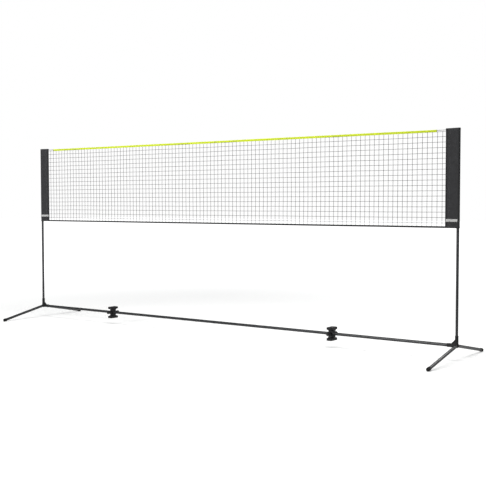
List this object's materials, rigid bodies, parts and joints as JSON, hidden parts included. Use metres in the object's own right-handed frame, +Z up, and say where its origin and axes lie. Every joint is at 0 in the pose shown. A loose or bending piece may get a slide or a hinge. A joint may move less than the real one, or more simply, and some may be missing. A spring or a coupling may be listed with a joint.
{
  "type": "portable net stand",
  "caption": "Free-standing sports net: two telescoping posts on T-shaped feet with a sectional crossbar hold a square-mesh net between fabric pole sleeves.",
  "frame": {"origin": "on the floor, midway between the two posts, under the crossbar's axis", "axes": "+X along the net from the left post to the right post as seen from the front, +Y across the net to the rear, +Z up"},
  "size_m": [4.1132, 0.9386, 1.566],
  "materials": {
    "hub_nylon": "moulded black nylon, fine satin grain",
    "coupler_nylon": "moulded black nylon, fine satin grain",
    "collar_nylon": "moulded black nylon",
    "powder_coated_steel": "satin dark grey powder coat on steel tube",
    "upper_tube_steel": "satin dark grey powder coat on steel tube",
    "foot_rubber": "matt black rubber",
    "cap_rubber": "matt black rubber",
    "button_steel": "plain steel",
    "spring_steel": "plain spring steel",
    "sleeve_fabric": "tightly woven dark grey polyester",
    "label_strip": "bare pale woven strip",
    "net_thread": "twisted black polyester thread, knotted in squares",
    "tape_yellow": "neon yellow-green woven polyester tape",
    "cord_black": "black braided cord",
    "tape_black": "black woven polyester binding"
  },
  "bodies": {
    "base": {"left_hub": "hub_nylon", "right_hub": "hub_nylon", "left_front_leg": "powder_coated_steel", "left_rear_leg": "powder_coated_steel", "right_front_leg": "powder_coated_steel", "right_rear_leg": "powder_coated_steel", "left_front_foot": "foot_rubber", "left_rear_foot": "foot_rubber", "right_front_foot": "foot_rubber", "right_rear_foot": "foot_rubber", "left_end_bar": "powder_coated_steel", "left_centre_bar": "powder_coated_steel", "right_centre_bar": "powder_coated_steel", "right_end_bar": "powder_coated_steel", "bar_ferrule": "upper_tube_steel", "left_coupler": "coupler_nylon", "right_coupler": "coupler_nylon", "left_lower_post": "powder_coated_steel", "right_lower_post": "powder_coated_steel", "left_guide_collar": "collar_nylon", "right_guide_collar": "collar_nylon"},
    "net_carriage": {"left_upper_post": "upper_tube_steel", "right_upper_post": "upper_tube_steel", "left_guide_plug": "collar_nylon", "right_guide_plug": "collar_nylon", "left_post_cap": "cap_rubber", "right_post_cap": "cap_rubber", "left_leaf_spring": "spring_steel", "right_leaf_spring": "spring_steel", "left_sleeve": "sleeve_fabric", "right_sleeve": "sleeve_fabric", "left_label": "label_strip", "right_label": "label_strip", "netting": "net_thread", "top_tape": "tape_yellow", "top_cord": "cord_black", "bottom_tape": "tape_black"},
    "left_button": {"left_snap_button": "button_steel"},
    "right_button": {"right_snap_button": "button_steel"}
  },
  "joints": [
    {"name": "height_slide", "type": "slide", "parent": "base", "child": "net_carriage", "axis": [0, 0, 1], "range_m": [-0.6, 0]},
    {"name": "left_button_press", "type": "slide", "parent": "net_carriage", "child": "left_button", "axis": [0, -1, 0], "range_m": [0, 0.0042], "stiffness_N_per_m": 900, "springref_m": -0.003, "deforming": ["left_leaf_spring"]},
    {"name": "right_button_press", "type": "slide", "parent": "net_carriage", "child": "right_button", "axis": [0, -1, 0], "range_m": [0, 0.0042], "stiffness_N_per_m": 900, "springref_m": -0.003, "deforming": ["right_leaf_spring"]}
  ]
}
